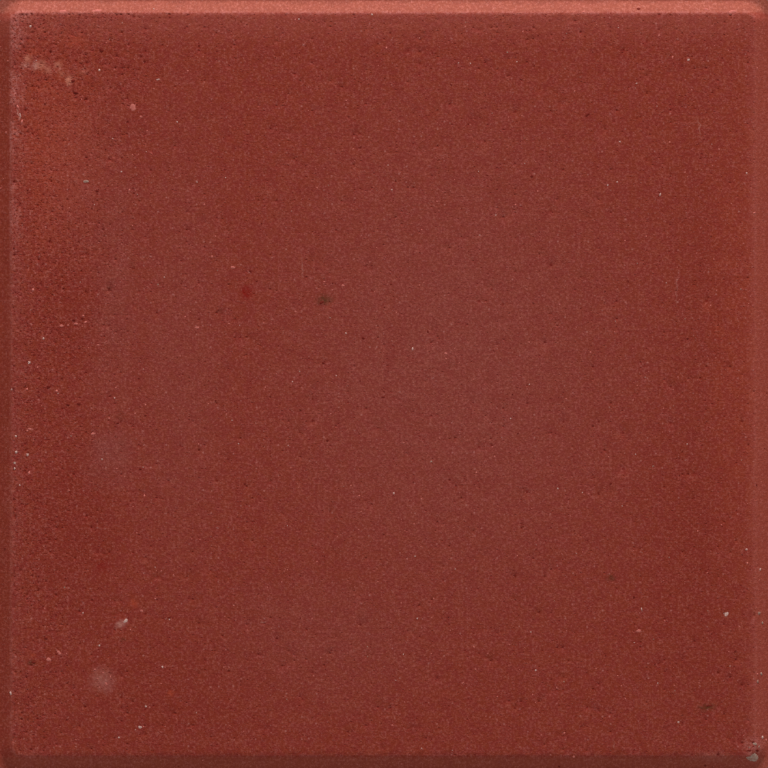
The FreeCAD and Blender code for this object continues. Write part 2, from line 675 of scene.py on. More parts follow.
BROAD_STAINS = marks(Patch, {
    Stain.VEIL: [
        (26, 9, 230, 300, 0.45), (-103, 35, 34, 200, 0.35), (-105, -27, 34, 40, 0.6),
        (-117, 80, 44, 90, 0.3), (-78, 10, 66, 270, 0.30), (-20, -95, 150, 90, 0.28),
        (49, -10, 44, 110, 0.25),
    ],
    Stain.DEEP: [
        (-119, 29, 34, 70, 0.4), (-117, -56, 50, 110, 0.5), (118, -62, 54, 190, 0.35),
        (122, 40, 36, 130, 0.25), (-82, -122, 130, 90, 0.3),
    ],
    Stain.ORANGE: [
        (-128, 92, 60, 130, 0.36), (138, 20, 38, 320, 0.20),
    ],
})
SMALL_STAINS = marks(Patch, {
    Stain.ORANGE: [
        (-134.5, 128, 9, 5, 0.5), (-119, 132.5, 13, 8, 0.5), (-135, -104.5, 5, 3, 0.5),
        (-96.2, -84.7, 5.0, 5.0, 0.8), (-82.0, -119.1, 4.0, 3.4, 0.7),
    ],
    Stain.OCHRE: [
        (-137, 125.6, 5.0, 5.0, 0.50), (-131.8, 123.2, 7, 6, 0.60, -12),
        (-129.4, 121.2, 6, 5, 0.45), (-125.4, 122.9, 5.5, 5.0, 0.60),
        (-120.9, 117.2, 4.4, 7.0, 0.70), (-124.0, 119.6, 6, 3.4, 0.35, -40),
        (-115.5, 120.5, 7, 4, 0.22, 10),
    ],
    Stain.LIME: [
        (-137.8, 123.1, 5.0, 3.6, 0.5), (-134.2, 122.8, 4.6, 5.0, 0.55),
        (-140.6, 103.6, 1.2, 6.5, 0.8, 14), (-108.3, -113.6, 14, 14, 0.30),
        (-106.5, -117, 7, 7, 0.25), (-101.2, -92.4, 7, 4.4, 0.5, 30), (-31.1, 45, 0.9, 11, 0.30),
        (-38.8, 21, 0.9, 5, 0.30), (121.7, 99, 0.8, 12, 0.38, 8), (112.9, 36.5, 0.9, 17, 0.30),
        (88.7, -139, 1.0, 5, 0.35), (-46, -91.5, 3.4, 1.2, 0.5, 20), (127, -143.4, 26, 6, 0.12),
    ],
    Stain.BRICK: [
        (-52.7, 35.4, 9, 9, 0.9), (-108, -70, 10, 8, 0.5),
    ],
    # Small dark horizontal marks, three of them round a dark grain; the code darkens these spots towards a
    # dark brown.
    Stain.DARK_MARK: [
        (-22.8, 32.6, 9.5, 6.0, 0.95), (124.8, -124.4, 10.0, 4.0, 0.98, 6),
        (87.6, -74.6, 5.4, 3.6, 0.85), (-135.6, -107.2, 5.4, 3.2, 0.85),
        (-100.5, -98.2, 4.6, 3.6, 0.45),
    ],
})


@dataclass(frozen=True)
class Bead:
    """A single grain at the surface, in millimetres, seen from above: most are grains of stone, the dark ones
    stand in for shade in pits, and a few salmon ones on the top arris are painted highlights.
    """

    x: float
    y: float
    wide: float
    high: float = 0.0
    turn: float = 0.0


class Stone(Enum):
    """The kinds of grain at the surface, with the dark grains that stand in for shade in pits and the salmon
    grains that include painted highlights: the piece's name, its linear colour and its smear of paste.
    """

    PALE = ("pale_sand_grains", (0.58, 0.39, 0.34, 1.0), 0.32)
    # Salmon grains; a few along the top arris are painted highlights.
    SALMON = ("red_sand_grains_and_painted_highlights", (0.50, 0.143, 0.116, 1.0), 0.25)
    GREY = ("grey_stone_chips", (0.33, 0.255, 0.20, 1.0), 0.40)
    # Dark red grains set where pits show shade: painted shade.
    DARK = ("dark_grains_painted_pit_shade", (0.098, 0.006, 0.003, 1.0), 0.25)


FACE_BEADS = marks(Bead, {
    Stone.PALE: [
        (-109.5, 121, 1.0), (132, -88.5, 2.0, 1.8, 30), (-95.5, -133, 1.1), (-93.7, -132, 1.5),
        (-99.3, -91.2, 1.5, 2.2, -30), (-82.5, -90.5, 1.0), (-136, 138, 0.9), (-133.7, 124.8, 0.8),
        (-131, 17.7, 0.8), (-137, -27, 1.0, 1.3), (4, -42, 0.8, 1.1), (117.5, 125.3, 1.3),
        (90, 78, 0.7), (106.6, 73.3, 0.7, 1.5, -25), (99.5, -86.5, 0.7, 1.8, 8),
        (133.4, -108.5, 1.1, 1.6), (105.6, -115, 1.2, 1.5), (146, -136, 1.0), (-101, 82, 0.8),
        (-109.5, -100.5, 0.8), (-140.0, 103.8, 0.5, 2.4, 14), (-102, -136, 0.8),
        (-92.5, 6, 0.6, 1.3, 20), (114, -130, 1.3, 0.8), (135, -131, 1.2, 0.8),
        (91, 93.5, 1.1, 0.7), (126.5, 92.5, 0.9), (-143.5, -119, 0.8, 1.3, 20),
        (145, -71.5, 0.7, 1.5, -35), (97.5, 116, 0.9, 0.6, -20), (-86.8, 117.5, 1.5, 0.6),
        (-14.5, 19.8, 0.8, 1.0), (11.2, 13.7, 0.6, 1.3), (-18.1, 3.4, 0.7), (-26.3, -0.2, 1.0, 0.7),
        (19.1, 2.5, 0.6), (25.4, 0.5, 0.8, 0.6), (-141.6, -19.9, 0.8), (-141.5, -26.1, 0.9, 1.2),
        (-142.0, -30.3, 0.7), (-142.1, -32.4, 0.7, 1.0), (-140.1, -38.8, 0.7),
    ],
    Stone.SALMON: [
        (-96.4, 106.9, 2.9, 3.6, -8), (-75.5, 121, 1.3, 0.9), (-140.9, 106.8, 0.8, 1.8, 10),
        (-139.3, 101.2, 0.8, 1.8, -8), (-88.5, 80, 1.0), (-104.5, 77, 1.0), (-93.5, 103.5, 1.4),
        (-91.5, 101, 1.1), (-125, -103.3, 1.7, 1.5), (141.5, -116.5, 1.2, 2.0), (-58, 45, 1.8, 1.2),
        # The salmon grains at y 143.4 to 144.4 mm, along the top arris, sit where the top chamfer catches the
        # lamp: painted highlights.
        (-100, -76, 1.1, 0.8), (106.5, -98.5, 1.1), (-123.5, 143.4, 2.4, 1.5),
        (-110.5, 143.8, 3.2, 1.1, 4), (134.3, 143.4, 2.4, 1.4, 20), (124.5, 144.4, 1.6, 1.0, -15),
        (-129, -106, 1.7, 1.9, 20), (-108.0, -111.0, 1.2, 0.8, 20), (-105.2, -112.6, 0.9, 1.2),
        (-110.2, -113.4, 0.9, 0.7), (-106.8, -115.4, 1.3, 0.9, -30), (-109.4, -116.6, 0.8, 0.8),
        (-104.6, -117.4, 0.8, 1.1, 15), (-111.3, -109.8, 0.8, 0.6), (-137.3, -1.9, 1.0),
        (-126, -2.6, 1.1), (-110.0, 15.2, 1.2, 0.9), (-136.5, -34.2, 1.1, 1.6),
        (-112.0, -19.0, 2.0, 0.9, 15), (-92.2, -42.9, 1.0), (-124.0, 22.6, 1.4, 0.8),
        (-121.5, 22.9, 1.0, 0.8), (-118.5, 23.3, 1.5, 0.9, 10), (-116.0, 22.4, 1.1, 0.8),
        (-114.8, 24.0, 1.1, 0.8, 25), (-72.0, 21.8, 2.0, 0.9, -5), (-95.7, -11.2, 0.9),
        # (77, 143.4) is one of the painted highlights along the top arris.
        (-135.7, -17.2, 2.0, 0.8), (77, 143.4, 1.0, 0.8), (-20.3, -11.2, 1.0, 0.7),
        (-4.6, 19.1, 0.8, 1.0, 30), (24.0, 12.0, 1.3, 0.7), (24.3, 10.0, 1.2, 0.6),
        (-4.3, 31.2, 0.8), (-15.6, 38.0, 1.6, 0.7, -10), (-33.9, 28.2, 1.0, 0.8),
        (111.6, 125.9, 1.7, 1.4), (79.3, 111.4, 1.0, 0.8), (100.9, 108.3, 1.1, 0.8, 25),
        (110.2, 93.3, 1.2, 0.9), (-93.0, -87.2, 1.4, 1.0), (98.3, -94.9, 1.9, 1.2),
        (133.0, -102.9, 1.1, 1.8, 30), (117.2, -129.5, 1.2, 1.0), (-59.6, 23.4, 1.2, 0.8),
        (-35.2, 60.5, 0.9, 0.9), (41.0, 91.2, 0.9, 0.8),
    ],
    Stone.GREY: [
        (-114.5, 78.2, 2.0, 1.1), (144, -114.5, 1.0, 1.4, -30), (145.5, -111.5, 0.9, 1.3, 30),
        (144.5, -88.3, 1.4, 0.8, 30), (146, -91.8, 0.9), (-142, -30, 1.2),
        (141.7, -143.2, 4.6, 2.7, -28), (143, -138.5, 1.3, 1.0), (141, -139.8, 1.1, 0.8),
        (144.6, -139.6, 0.9, 0.9),
    ],
    # These dark grains sit where the face has pits, mostly as flat dashes: painted pit shade, made as raised
    # dark grains.
    Stone.DARK: [
        (-108.7, 128.7, 1.7, 1.2, -20), (-78.2, 126.4, 1.5, 1.1), (-118.3, 112.3, 1.8, 0.9, -10),
        (-110.4, 74.7, 1.5, 1.0), (-82.4, -89.7, 1.6, 1.0, 20), (95.9, 116.2, 1.2, 0.9),
        (104.8, -107.5, 1.5, 1.0, 15), (85.5, -104.4, 1.3, 0.9), (78.5, 103.8, 2.4, 1.3, 35),
        (-7.9, 17.9, 1.9, 0.9, -12), (-23.0, 8.3, 1.6, 0.9), (-0.2, -4.8, 1.7, 1.0, 15),
        (-21.4, -21.4, 1.8, 1.2, 30), (3.0, 38.6, 1.3, 0.7), (-19.6, 39.1, 0.9),
        (-14.4, 7.4, 1.1, 0.8), (-9.0, 1.4, 1.0, 0.8), (-23.2, -1.4, 1.2, 0.7),
        (-20.3, -8.7, 1.2, 1.4), (-23.7, 31.6, 1.8, 1.2, 20), (125.6, -123.8, 3.0, 0.7, 6),
        (-119.5, 24.9, 1.8, 0.8, -8), (-116.0, 25.4, 1.4, 0.8, 15), (-117.2, -7.5, 2.0, 1.2),
        (-121.8, -7.9, 1.6, 1.1), (-129.1, -1.0, 1.8, 1.2, 30), (-102.1, -14.9, 1.4, 0.9),
        (-93.6, -32.6, 1.5, 1.0), (-130.0, -97.7, 1.8, 1.1), (-134.9, -107.0, 1.6, 0.9),
        (142.2, -137.6, 1.2, 1.0), (140.9, -141.0, 1.6, 0.8, 10), (143.8, -140.9, 1.4, 0.9, -20),
        (142.6, -139.4, 1.0, 0.8), (139.6, -116.1, 1.1, 1.6),
    ],
})


def new_material(name: str) -> tuple[bpy.types.Material, Graph, bpy.types.Node]:
    """Makes a material with one Principled shader.

    Args:
        name: The material's name.

    Returns:
        The material, the graph of its tree and its shader.
    """
    material = bpy.data.materials.new(name)
    material.use_nodes = True
    return material, Graph(material.node_tree), material.node_tree.nodes["Principled BSDF"]


@dataclass(frozen=True)
class RedConcrete:
    """Concrete coloured red all through, with the colours of its parts and the colours it paints for shade in
    its holes and for light on its lamp side.
    """

    sizes: TileSizes
    paste: tuple = (0.208, 0.0276, 0.0188, 1.0)
    warm_paste: tuple = (0.212, 0.0308, 0.0160, 1.0)
    light_paste: tuple = (0.56, 0.172, 0.140, 1.0)
    dark_paste: tuple = (0.122, 0.001, 0.0, 1.0)
    pale_grain: tuple = (0.60, 0.268, 0.238, 1.0)
    smooth_paste: tuple = (0.220, 0.0310, 0.0158, 1.0)
    # Painted light: the pale colour of the lamp-side strips along the top and right edges.
    lamp_side_light: tuple = (0.475, 0.125, 0.095, 1.0)
    # Dust, and on the top chamfer painted sheen: a pale grey-brown.
    dust_and_sheen: tuple = (0.40, 0.30, 0.20, 1.0)
    # Painted shade: the dark red that pits, pores and gaps are darkened towards, where their shade falls.
    painted_pit_shade: tuple = (0.150, 0.003, 0.001, 1.0)
    worn: tuple = (0.46, 0.160, 0.140, 1.0)
    open_paste: tuple = (0.168, 0.038, 0.027, 1.0)
    cement_film: tuple = (0.255, 0.102, 0.079, 1.0)
    lighter_share: float = 0.30
    darker_share: float = 0.40
    pale_share: float = 0.11
    speck_share: float = 0.28
    # How strongly the painted shade shows in pores, and in the pits of the pressed and the moulded faces.
    pore_shade_share: float = 0.80
    pressed_pit_shade_share: float = 0.55
    moulded_pit_shade_share: float = 0.60
    gap_bump: float = 0.14 * MM
    moulded_bump: float = 0.45 * MM
    moulded_pit_bump: float = 0.30 * MM
    pressed_dullness: float = 0.78
    moulded_dullness: float = 0.88

    def toned(
        self, graph: Graph, colour: Value, grit: bpy.types.Node, strength: Value
    ) -> bpy.types.NodeSocket:
        """Lets the sand show through a colour.

        Args:
            graph: Where the nodes go.
            colour: The paste's colour.
            grit: The sand grit group.
            strength: How much of it shows.

        Returns:
            The colour with its lighter and darker grains.
        """
        tone = graph.product(grit.outputs["Tone"], strength)
        lighter = graph.math("MULTIPLY", tone, self.lighter_share, clamp=True)
        darker = graph.math("MULTIPLY", tone, -self.darker_share, clamp=True)
        pale = graph.product(grit.outputs["Pale Grain"], strength, self.pale_share)
        colour = graph.tinted(lighter, colour, self.light_paste)
        colour = graph.tinted(darker, colour, self.dark_paste)
        return graph.tinted(pale, colour, self.pale_grain)

    def finish(self, graph: Graph, shader: bpy.types.Node, colour: Value, height: Value, dull: Value) -> None:
        """Feeds the shader.

        Args:
            graph: Where the nodes go.
            shader: The Principled shader.
            colour: The base colour.
            height: The relief, in metres.
            dull: The roughness.
        """
        graph.feed(shader.inputs["Base Color"], colour)
        bump = graph.node("ShaderNodeBump", {"Strength": 1.0, "Distance": 1.0, "Height": height})
        graph.feed(shader.inputs["Normal"], bump.outputs[0])
        graph.feed(shader.inputs["Roughness"], dull)
        shader.inputs["Specular IOR Level"].default_value = DRY_GLOSS

    def pressed(self, groups: ShaderGroups) -> bpy.types.Material:
        """The face, its chamfer and its ledge, pressed smooth against the mould.

        Args:
            groups: The shared shader groups.

        Returns:
            The material.
        """
        material, graph, shader = new_material("pressed red concrete")
        place = graph.node("ShaderNodeTexCoord").outputs["Object"]
        graph = graph.flattened()
        zones = Zones.read(graph, place, self.sizes)
        grit = graph.node("ShaderNodeGroup", {"Place": place}, node_tree=groups.pressed_grit)

        warmth = graph.ramp(graph.noise(place, 4.5 * MM, 2.0, 0.7), 0.36, 0.64)
        colour = graph.tinted(warmth, self.paste, self.warm_paste)
        colour = self.stained(graph, groups, place, colour, BROAD_STAINS, 9 * MM, 0.25)
        arris = self.sizes.arris
        _, y, _ = graph.parts(place)
        off_face = graph.math("SUBTRACT", 1.0, zones.face)
        colour = graph.tinted(graph.product(off_face, 0.5), colour, self.smooth_paste)
        # The grain's tone is stronger where the face is coarse, and 1.6 times as strong on the top chamfer,
        # which faces the lamp: there it is painted light and shade on the grain's relief.
        grain_and_lit_relief = graph.ramp(y, arris - 1 * MM, arris + 1 * MM, 1.0, 1.6)
        grain_and_lit_relief = graph.math("MULTIPLY_ADD", zones.coarse, 0.2, grain_and_lit_relief)
        colour = self.toned(graph, colour, grit, grain_and_lit_relief)
        colour = self.stained(graph, groups, place, colour, SMALL_STAINS, 1.6 * MM, 0.5)
        colour = self.worn_and_lit_edges(graph, place, zones, colour)
        specks = SPECKS.on_face(graph, place, zones)
        colour = graph.tinted(graph.product(specks, self.speck_share), colour, self.pale_grain)
        pores = FINE_PORES.on_face(graph, place, zones)
        gaps = crevices(graph, place, zones)
        pits = [size.on_face(graph, place, zones) for size in FACE_PITS]
        # Pores, gaps and pits are darkened towards a dark red: painted shade in the holes, on top of their
        # bump.
        holes = graph.largest(graph.product(pores, self.pore_shade_share), gaps, *pits)
        colour = graph.tinted(graph.product(holes, self.pressed_pit_shade_share), colour, self.painted_pit_shade)
        height = graph.math("MULTIPLY_ADD", pores, -FINE_PORES.depth, grit.outputs["Relief"])
        height = graph.math("MULTIPLY_ADD", gaps, -self.gap_bump, height)
        height = graph.math("MULTIPLY_ADD", pits[-1], -0.5 * FACE_PITS[-1].depth, height)
        dull = graph.math("MULTIPLY_ADD", grit.outputs["Tone"], 0.06, self.pressed_dullness)
        self.finish(graph, shader, colour, height, dull)
        return material

    def stained(
        self,
        graph: Graph,
        groups: ShaderGroups,
        place: Value,
        colour: Value,
        stains: dict[Stain, list[Patch]],
        ragged: float,
        broken: float,
    ) -> bpy.types.NodeSocket:
        """Lays stains over a colour.

        Args:
            graph: Where the nodes go.
            groups: The shared shader groups.
            place: The place on the tile.
            colour: The colour below.
            stains: The patches of each kind of stain.
            ragged: The size of the lobes that the patches' edges have, in metres.
            broken: The share of each stain that its own grain takes away.

        Returns:
            The stained colour.
        """
        shifted = graph.wobbled(place, ragged, 0.90 * ragged)
        grain = graph.ramp(graph.noise(place, ragged, 3.0, 0.7), 0.35, 0.65, 1.0 - broken, 1.0)
        for stain, patches in stains.items():
            mask = graph.largest(*(patch.mask(graph, groups.oval, shifted) for patch in patches))
            colour = graph.tinted(graph.product(mask, grain), colour, stain.value)
        return colour

    def worn_and_lit_edges(self, graph: Graph, place: Value, zones: Zones, colour: Value) -> bpy.types.NodeSocket:
        """Pales the arris where feet and handling have rubbed it; pales the strips beside the top and right
        arrises, on the lamp's side, as painted light; and tints the top chamfer with dust and painted sheen.

        Args:
            graph: Where the nodes go.
            place: The place on the tile.
            zones: The surface's zones.
            colour: The colour below.

        Returns:
            The paler colour.
        """
        arris = self.sizes.arris
        x, y, _ = graph.parts(place)
        # The strips beside the top and right arrises, on the lamp's side, and the top chamfer are paled
        # towards a light red: painted light.
        top_painted_light = graph.ramp(y, arris - 15 * MM, arris - 2 * MM, 0.0, 0.13)
        right_painted_light = graph.ramp(x, arris - 5 * MM, arris + 1 * MM, 0.0, 0.13)
        margin = graph.largest(top_painted_light, right_painted_light)
        colour = graph.tinted(margin, colour, self.lamp_side_light)
        # The top chamfer is tinted pale grey-brown, twice as much as the lower one: dust on both, and painted
        # sheen from the lamp on the top one.
        dust_and_sheen_share = graph.ramp(y, arris - 0.5 * MM, arris + 1 * MM, 0.0, 0.07)
        dust_and_sheen_share = graph.largest(dust_and_sheen_share, graph.ramp(y, -arris, -arris - 1.5 * MM, 0.0, 0.035))
        colour = graph.tinted(dust_and_sheen_share, colour, self.dust_and_sheen)
        line = graph.ramp(graph.math("ABSOLUTE", zones.past_arris), 1.2 * MM, 0.2 * MM)
        broken = graph.ramp(graph.noise(place, 1.6 * MM, 3.0, 0.9), 0.42, 0.64)
        rubbed = graph.product(line, broken, graph.ramp(y, arris - 3 * MM, arris, 0.13, 0.34))
        colour = graph.tinted(rubbed, colour, self.worn)
        hazy = graph.ramp(graph.noise(place, 1.3 * MM, 2.0, 0.9), 0.36, 0.66, 0.0, 0.55)
        return graph.tinted(graph.product(zones.crumbly, hazy), colour, self.worn)

    def moulded(self, groups: ShaderGroups) -> bpy.types.Material:
        """The sides and the bed, which the mould leaves open and dull.

        Args:
            groups: The shared shader groups.

        Returns:
            The material.
        """
        material, graph, shader = new_material("moulded red concrete")
        place = graph.node("ShaderNodeTexCoord").outputs["Object"]
        grit = graph.node("ShaderNodeGroup", {"Place": place}, node_tree=groups.open_grit)
        streaks = graph.noise(graph.vector("MULTIPLY", place, (1.0, 1.0, 0.12)), 2.4 * MM, 3.0, 0.6)
        film = graph.ramp(graph.noise(place, 11 * MM, 5.0, 0.7), 0.45, 0.70, 0.0, 0.36)
        colour = graph.tinted(film, self.open_paste, self.cement_film)
        colour = graph.tinted(graph.ramp(streaks, 0.5, 0.2, 0.0, 0.35), colour, self.dark_paste)
        colour = self.toned(graph, colour, grit, 1.5)
        holes = graph.largest(*(pits.bowls(graph, place, pits.share) for pits in SIDE_PITS))
        # The pits of the sides and the bed are darkened towards a dark red: painted shade in the holes, on
        # top of their bump.
        colour = graph.tinted(graph.product(holes, self.moulded_pit_shade_share), colour, self.painted_pit_shade)
        rough = graph.noise(place, 1.1 * MM, 2.0, 0.7)
        height = graph.math("MULTIPLY_ADD", rough, self.moulded_bump, grit.outputs["Relief"])
        height = graph.math("MULTIPLY_ADD", holes, -self.moulded_pit_bump, height)
        self.finish(graph, shader, colour, height, self.moulded_dullness)
        return material


# ---------------------------------------------------------------------------------------
# The tile
# ---------------------------------------------------------------------------------------


@dataclass
class PavingTile:
    """The pressed tile: its outline, its worn edges and the relief of each surface."""

    sizes: TileSizes
    columns: int = 601
    rows: int = 56
    most_triangles: int = 194_000
    edge_crowding: float = 0.35
    pressed_below_ledge: float = 1.2 * MM
    face_wave: float = 0.10 * MM
    smooth_grit: float = 0.05 * MM
    coarse_grit: float = 0.20 * MM
    gap_depth: float = 0.16 * MM
    smooth_nicks: float = 0.12 * MM
    coarse_nicks: float = 0.35 * MM
    side_drag: float = 0.28 * MM
    side_grit: float = 0.22 * MM
    bed_grit: float = 0.70 * MM
    crease_angle: float = math.radians(50)

    def build(self, pressed: bpy.types.Material, moulded: bpy.types.Material) -> bpy.types.Object:
        """Makes the tile's closed mesh.

        Args:
            pressed: The material of the face, the chamfer and the ledge.
            moulded: The material of the sides and the bed.

        Returns:
            The tile as a plain piece.
        """
        columns = self.columns
        values = {
            "Side": self.sizes.side,
            "Thickness": self.sizes.thickness,
            "Chamfer Width": self.sizes.chamfer_width,
            "Chamfer Depth": self.sizes.chamfer_depth,
            "Columns": columns,
            "Rows": self.rows,
            "Pressed": pressed,
            "Moulded": moulded,
        }
        tile = grown(self.relief_tree(), "pressed_tile", bpy.data.meshes.new("empty"), values)
        self.thin_out(tile)
        self.lay_out_map(tile.data)
        tile.data.shade_smooth()
        tile.data.set_sharp_from_angle(angle=self.crease_angle)
        return tile

    def relief_tree(self) -> bpy.types.NodeTree:
        """The geometry tree of the tile's shape and relief.

        Returns:
            The tree.
        """
        graph, given = new_tree(
            "Pressed tile",
            "GeometryNodeTree",
            [
                ("Geometry", "NodeSocketGeometry", None),
                ("Side", "NodeSocketFloat", 0.3),
                ("Thickness", "NodeSocketFloat", 0.045),
                ("Chamfer Width", "NodeSocketFloat", 0.0048),
                ("Chamfer Depth", "NodeSocketFloat", 0.004),
                ("Columns", "NodeSocketInt", 101),
                ("Rows", "NodeSocketInt", 21),
                ("Pressed", "NodeSocketMaterial", None),
                ("Moulded", "NodeSocketMaterial", None),
            ],
            [("Geometry", "NodeSocketGeometry")],
        )
        block = graph.node(
            "GeometryNodeMeshCube",
            {
                "Size": graph.joined(given["Side"], given["Side"], given["Thickness"]),
                "Vertices X": given["Columns"],
                "Vertices Y": given["Columns"],
                "Vertices Z": given["Rows"],
            },
        ).outputs["Mesh"]
        outline = graph.node(
            "GeometryNodeSetPosition", {"Geometry": block, "Position": self.outline(graph, given)}
        ).outputs[0]
        normal = graph.node("GeometryNodeInputNormal").outputs[0]
        sunk = graph.scaled(normal, graph.product(self.relief(graph), -1.0))
        worn = graph.node("GeometryNodeSetPosition", {"Geometry": outline, "Offset": sunk}).outputs[0]
        _, _, middle_z = graph.parts(graph.node("GeometryNodeInputPosition").outputs[0])
        pressed_from = self.sizes.ledge_height - self.pressed_below_ledge
        from_ledge = graph.math("GREATER_THAN", middle_z, pressed_from)
        inputs = {"Geometry": worn, "Material": given["Moulded"]}
        all_moulded = graph.node("GeometryNodeSetMaterial", inputs).outputs[0]
        inputs = {"Geometry": all_moulded, "Selection": from_ledge, "Material": given["Pressed"]}
        dressed = graph.node("GeometryNodeSetMaterial", inputs)
        graph.node("NodeGroupOutput", {0: dressed.outputs[0]})
        return graph.tree

    def outline(self, graph: Graph, given: dict) -> bpy.types.NodeSocket:
        """Where each point of the plain block goes on the chamfered tile.

        Args:
            graph: Where the nodes go.
            given: The tree's input sockets, by name.

        Returns:
            The new place.
        """
        sizes = self.sizes
        x, y, z = graph.parts(graph.node("GeometryNodeInputPosition").outputs[0])
        half = graph.product(given["Side"], 0.5)

        def crowded(value: bpy.types.NodeSocket) -> bpy.types.NodeSocket:
            """Moves the columns towards the edges, where the detail is.

            Args:
                value: The place of a column, along X or Y.

            Returns:
                Its new place.
            """
            share = graph.math("DIVIDE", value, half)
            cube = graph.math("POWER", graph.math("ABSOLUTE", share), 3.0)
            signed = graph.product(cube, graph.math("SIGN", share))
            spread = graph.product(share, 1.0 + self.edge_crowding)
            moved = graph.math("MULTIPLY_ADD", signed, -self.edge_crowding, spread)
            return graph.product(moved, half)

        flat = graph.joined(crowded(x), crowded(y), 0.0)
        size = graph.vector("ABSOLUTE", flat)
        straight = graph.math("SUBTRACT", half, sizes.block_corner_radius)
        limit = graph.joined(straight, straight, 0.0)
        over = graph.vector("MAXIMUM", graph.vector("SUBTRACT", size, limit), (0.0, 0.0, 0.0))
        over_x, over_y, _ = graph.parts(over)
        long_way = graph.largest(graph.vector("LENGTH", over), TINY * TINY)
        round_off = graph.math("DIVIDE", graph.largest(over_x, over_y), long_way)
        rounded = graph.vector("ADD", graph.vector("MINIMUM", size, limit), graph.scaled(over, round_off))
        placed = graph.vector("MULTIPLY", rounded, graph.vector("SIGN", flat))

        inside = inset(graph, placed, sizes.foot, sizes.face_corner_radius)
        wear = graph.noise(placed, 5 * MM, 3.0, 0.65)
        softness = graph.ramp(wear, 0.35, 0.8, 0.8 * sizes.arris_softness, 2.4 * sizes.arris_softness)
        slope = graph.math("DIVIDE", given["Chamfer Depth"], given["Chamfer Width"])
        down = graph.math("SUBTRACT", given["Chamfer Depth"], graph.product(inside, slope))
        drop = graph.math("SMOOTH_MAX", down, 0.0, softness)
        drop = graph.math("MINIMUM", drop, given["Chamfer Depth"])

        middle_up = graph.math("MULTIPLY_ADD", given["Thickness"], 0.5, z)
        share_up = graph.math("DIVIDE", middle_up, given["Thickness"])
        ledge = graph.math("SUBTRACT", given["Thickness"], given["Chamfer Depth"])
        on_side = graph.product(share_up, ledge)
        on_top = graph.math("SUBTRACT", given["Thickness"], drop)
        is_top = graph.math("GREATER_THAN", share_up, 1.0 - TINY)
        placed_x, placed_y, _ = graph.parts(placed)
        return graph.joined(placed_x, placed_y, graph.mixed(is_top, on_side, on_top))

    def relief(self, graph: Graph) -> bpy.types.NodeSocket:
        """How far each surface lies below its pressed plane.

        Args:
            graph: Where the nodes go.

        Returns:
            The depth, in metres.
        """
        sizes = self.sizes
        place = graph.node("GeometryNodeInputPosition").outputs[0]
        _, _, z = graph.parts(place)
        is_top = graph.math("GREATER_THAN", z, sizes.ledge_height - TINY)
        is_bed = graph.math("LESS_THAN", z, TINY)
        plane = graph.flattened()
        zones = Zones.read(plane, place, sizes)

        face = [graph.product(plane.noise(place, 45 * MM, 1.0), self.face_wave)]
        grit = plane.noise(place, 1.5 * MM, 2.0, 0.6)
        depth = graph.mixed(zones.coarse, self.smooth_grit, self.coarse_grit)
        face.append(graph.product(grit, depth))
        face += [graph.product(pits.on_face(plane, place, zones), pits.depth) for pits in FACE_PITS]
        face.append(graph.product(crevices(plane, place, zones), self.gap_depth))
        face.append(self.nicks(graph, place, zones))

        drag = graph.noise(graph.vector("MULTIPLY", place, (1.0, 1.0, 0.07)), 1.6 * MM, 2.0, 0.6)
        sides = [
            graph.product(drag, self.side_drag),
            graph.product(graph.noise(place, 2.2 * MM, 2.0), self.side_grit),
        ]
        sides += [graph.product(pits.bowls(graph, place, pits.share), pits.depth) for pits in SIDE_PITS]
        bed = [graph.product(graph.noise(place, 3.2 * MM, 3.0, 0.6), self.bed_grit)]
        bed += [graph.product(pits.bowls(graph, place, pits.share), pits.depth) for pits in BED_PITS]

        kept_edge = graph.ramp(z, sizes.ledge_height - 0.3 * MM, sizes.ledge_height - 4 * MM, 0.15, 1.0)
        side = graph.product(graph.total(*sides), kept_edge)
        lower = graph.mixed(is_bed, side, graph.total(*bed))
        return graph.mixed(is_top, lower, graph.total(*face))

    def nicks(self, graph: Graph, place: Value, zones: Zones) -> bpy.types.NodeSocket:
        """Small breaks along the arris, most of them on the coarse side.

        Args:
            graph: Where the nodes go.
            place: The place.
            zones: The surface's zones.

        Returns:
            Their depth, in metres.
        """
        near = graph.ramp(graph.math("ABSOLUTE", zones.past_arris), 1.5 * MM, 0.3 * MM)
        crumbs = graph.noise(graph.wobbled(place, 3 * MM, 2 * MM), 1.7 * MM, 2.0, 0.7)
        start = graph.mixed(zones.coarse, 0.64, 0.55)
        broken = graph.ramp(crumbs, start, graph.math("ADD", start, 0.15))
        depth = graph.mixed(zones.coarse, self.smooth_nicks, self.coarse_nicks)
        return graph.product(near, broken, depth)

    def thin_out(self, tile: bpy.types.Object) -> None:
        """Merges the triangles that the relief doesn't need.

        Args:
            tile: The tile, which gets a new mesh.
        """
        triangles = sum(len(polygon.vertices) - 2 for polygon in tile.data.polygons)
        thinner = tile.modifiers.new("thin out", "DECIMATE")
        thinner.ratio = min(1.0, self.most_triangles / triangles)
        mesh = evaluated_mesh(tile, tile.name)
        tile.modifiers.clear()
        tile.data = mesh

